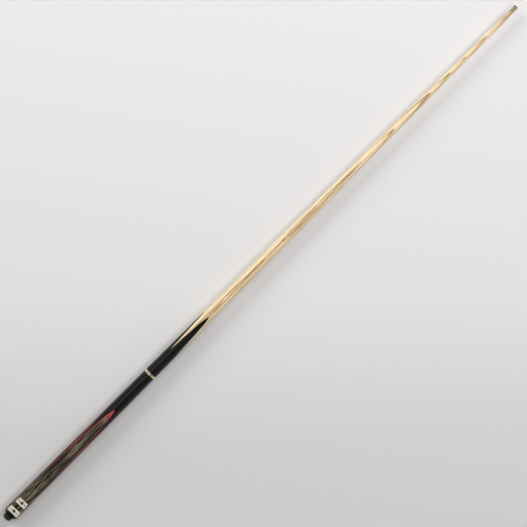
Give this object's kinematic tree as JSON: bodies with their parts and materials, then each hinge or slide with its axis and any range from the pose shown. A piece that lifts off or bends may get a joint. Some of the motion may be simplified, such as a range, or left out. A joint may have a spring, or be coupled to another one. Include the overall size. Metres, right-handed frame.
{
  "type": "pool cue",
  "caption": "Slim tapered two-piece pool cue with spliced hardwood butt, screw joint near the butt, pale shaft, brass ferrule, leather tip and rubber foot.",
  "frame": {"origin": "centre of the rubber bumper's end face, on the cue's axis", "axes": "+X along the cue's axis from butt to tip, +Z square to the butt's flat, which faces up, +Y to the left looking from butt to tip"},
  "size_m": [1.448, 0.031, 0.0303],
  "materials": {
    "ash": "satin",
    "ebony": "gloss",
    "figured_wood": "gloss",
    "red_veneer": "gloss",
    "brass": "polished",
    "cream_plate": "satin",
    "leather": "matte",
    "rubber": "matte",
    "steel": "satin"
  },
  "bodies": {
    "shaft": {"leather_tip": "leather", "brass_ferrule": "brass", "ash_shaft": "ash", "shaft_collar": "brass", "joint_stud": "brass", "shaft_ebony_splice_front": "ebony", "shaft_ebony_splice_right": "ebony", "shaft_ebony_splice_back": "ebony", "shaft_ebony_splice_left": "ebony"},
    "butt_ring": {"butt_collar": "brass"},
    "butt": {"joint_insert": "brass", "butt_ash_core": "ash", "badge_plate_rear": "cream_plate", "badge_plate_front": "cream_plate", "butt_cap": "ebony", "butt_plug": "ash", "balance_weight": "steel", "rubber_bumper": "rubber", "bumper_screw": "steel", "butt_ebony_strip_front": "ebony", "red_veneer_front": "red_veneer", "figured_splice_front": "figured_wood", "butt_ebony_strip_right": "ebony", "red_veneer_right": "red_veneer", "figured_splice_right": "figured_wood", "butt_ebony_strip_back": "ebony", "red_veneer_back": "red_veneer", "figured_splice_back": "figured_wood", "butt_ebony_strip_left": "ebony", "red_veneer_left": "red_veneer", "figured_splice_left": "figured_wood"}
  },
  "joints": [
    {"name": "butt_draw", "type": "slide", "parent": "shaft", "child": "butt_ring", "axis": [-1, 0, 0], "range_m": [0, 0.021]},
    {"name": "butt_unscrew", "type": "hinge", "parent": "butt_ring", "child": "butt", "pos_m": [0.409, 0, 0], "axis": [-1, 0, 0], "range_deg": [0, 4320]}
  ],
  "couplings": [
    {"joint": "butt_draw", "follows": "butt_unscrew", "m_per_rad": 0.00027852}
  ]
}
